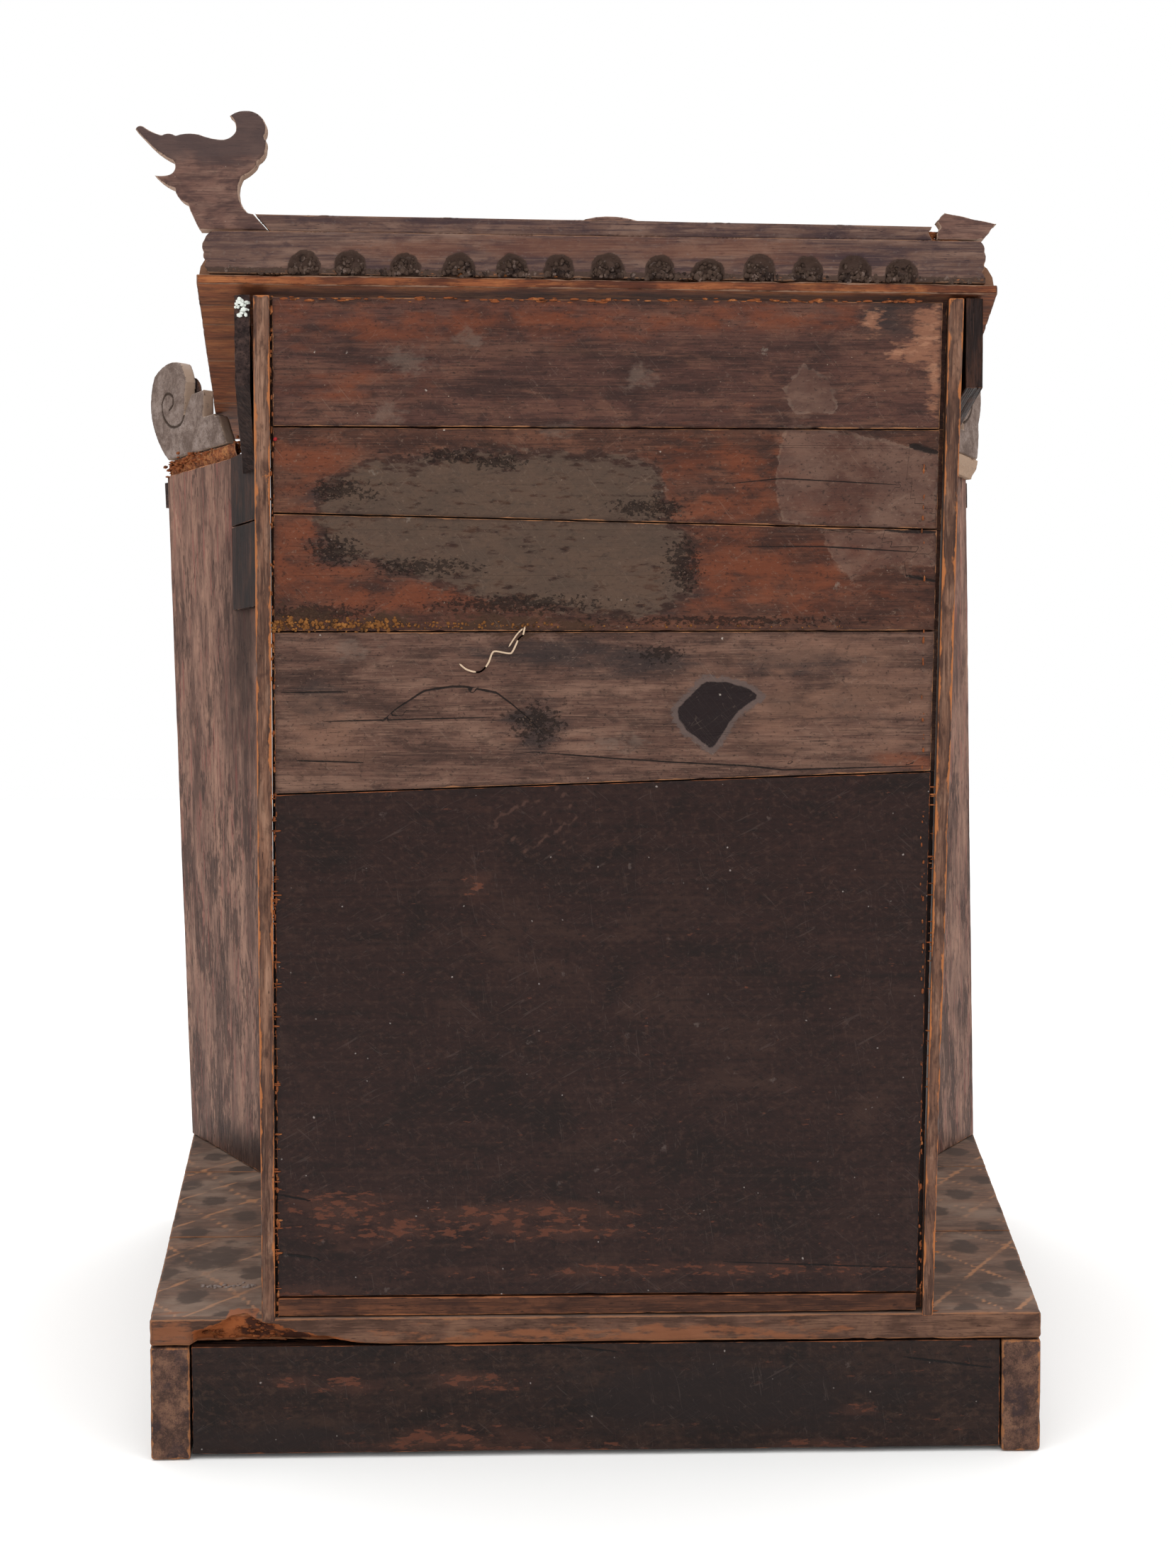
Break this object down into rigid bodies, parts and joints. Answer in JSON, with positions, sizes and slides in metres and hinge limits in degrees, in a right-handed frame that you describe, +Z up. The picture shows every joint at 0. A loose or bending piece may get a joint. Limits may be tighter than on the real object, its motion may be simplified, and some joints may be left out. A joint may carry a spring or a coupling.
{
  "type": "portable shrine",
  "caption": "Portable wooden shrine: splayed plinth, boarded niche with an open front, flared wings with scrolls, and a shallow roof with a fretwork finial.",
  "frame": {"origin": "on the floor, under the middle of the bounding box", "axes": "+Z up; -Y towards the closed boarded back, +Y towards the open front of the niche; +X to the right as seen from behind"},
  "size_m": [0.5982, 0.4, 0.6568],
  "materials": {
    "aged_brown_wood": "oiled and worn, dull",
    "blackened_wood": "dark lacquer residue, soft sheen",
    "raw_orange_wood": "bare unfinished wood",
    "red_stained_wood": "red stained, worn",
    "dusty_grey_wood": "dusty matt"
  },
  "bodies": {
    "root": {"base_side_board_left": "aged_brown_wood", "base_side_board_right": "aged_brown_wood", "base_top_board_rear": "aged_brown_wood", "base_top_board_middle": "aged_brown_wood", "base_top_board_front": "aged_brown_wood", "niche_wall_left": "aged_brown_wood", "niche_wall_right": "aged_brown_wood", "back_plank_1": "aged_brown_wood", "back_plank_3": "aged_brown_wood", "niche_front_lintel": "aged_brown_wood", "rear_fascia": "aged_brown_wood", "ridge_strip": "aged_brown_wood", "finial_stub_right": "aged_brown_wood", "roof_moulding_left": "aged_brown_wood", "roof_moulding_right": "aged_brown_wood", "front_fascia": "aged_brown_wood", "roof_board_1": "aged_brown_wood", "roof_board_2": "aged_brown_wood", "roof_board_3": "aged_brown_wood", "roof_board_4": "aged_brown_wood", "base_back_rail": "blackened_wood", "base_front_rail": "blackened_wood", "back_lower_panel": "blackened_wood", "side_beam_left": "blackened_wood", "side_beam_right": "blackened_wood", "corner_block_lower": "blackened_wood", "corner_block_upper": "blackened_wood", "wing_frieze_left": "blackened_wood", "wing_frieze_right": "blackened_wood", "wing_leaf_left": "blackened_wood", "back_bottom_strip": "raw_orange_wood", "wing_cap_left": "raw_orange_wood", "wing_cap_right": "raw_orange_wood", "soffit_board_1": "raw_orange_wood", "soffit_board_2": "raw_orange_wood", "soffit_board_3": "raw_orange_wood", "soffit_board_4": "raw_orange_wood", "soffit_board_5": "raw_orange_wood", "back_plank_2": "red_stained_wood", "back_plank_4": "red_stained_wood", "wing_panel_left": "red_stained_wood", "wing_panel_right": "red_stained_wood", "roof_crest": "red_stained_wood", "finial_left": "dusty_grey_wood", "wing_scroll_left": "dusty_grey_wood", "wing_scroll_right": "dusty_grey_wood"}
  },
  "joints": []
}
